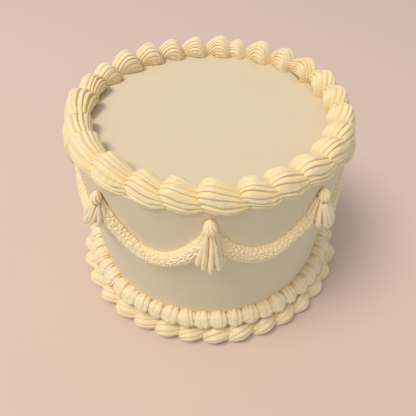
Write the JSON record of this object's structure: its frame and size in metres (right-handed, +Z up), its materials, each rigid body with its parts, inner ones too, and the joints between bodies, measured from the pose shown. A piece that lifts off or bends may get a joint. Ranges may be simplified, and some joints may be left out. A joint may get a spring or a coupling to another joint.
{
  "type": "lambeth cake",
  "caption": "Round iced cake with a piped shell border on top, hanging swags with tassels on the wall, and two piped rows round the foot.",
  "frame": {"origin": "centre of the cake's flat underside, on the surface it stands on", "axes": "+Z up, the cake's axis; -Y is the front, where a tassel hangs in the middle; +X is the viewer's right"},
  "size_m": [0.1894, 0.181, 0.1307],
  "materials": {
    "smooth_icing": "smooth matte buttercream spread with a scraper, pale ivory",
    "piped_icing": "piped buttercream with a soft satin sheen, warm cream"
  },
  "bodies": {
    "root": {"cake_body": "smooth_icing", "top_border": "piped_icing", "foot_border": "piped_icing", "leaning_border": "piped_icing", "tassel_1": "piped_icing", "tassel_2": "piped_icing", "tassel_3": "piped_icing", "tassel_4": "piped_icing", "tassel_5": "piped_icing", "tassel_6": "piped_icing", "tassel_7": "piped_icing", "tassel_8": "piped_icing", "bead_1": "piped_icing", "bead_2": "piped_icing", "bead_3": "piped_icing", "bead_4": "piped_icing", "bead_5": "piped_icing", "bead_6": "piped_icing", "bead_7": "piped_icing", "bead_8": "piped_icing", "swag_1": "piped_icing", "swag_2": "piped_icing", "swag_3": "piped_icing", "swag_4": "piped_icing", "swag_5": "piped_icing", "swag_6": "piped_icing", "swag_7": "piped_icing", "swag_8": "piped_icing"}
  },
  "joints": []
}
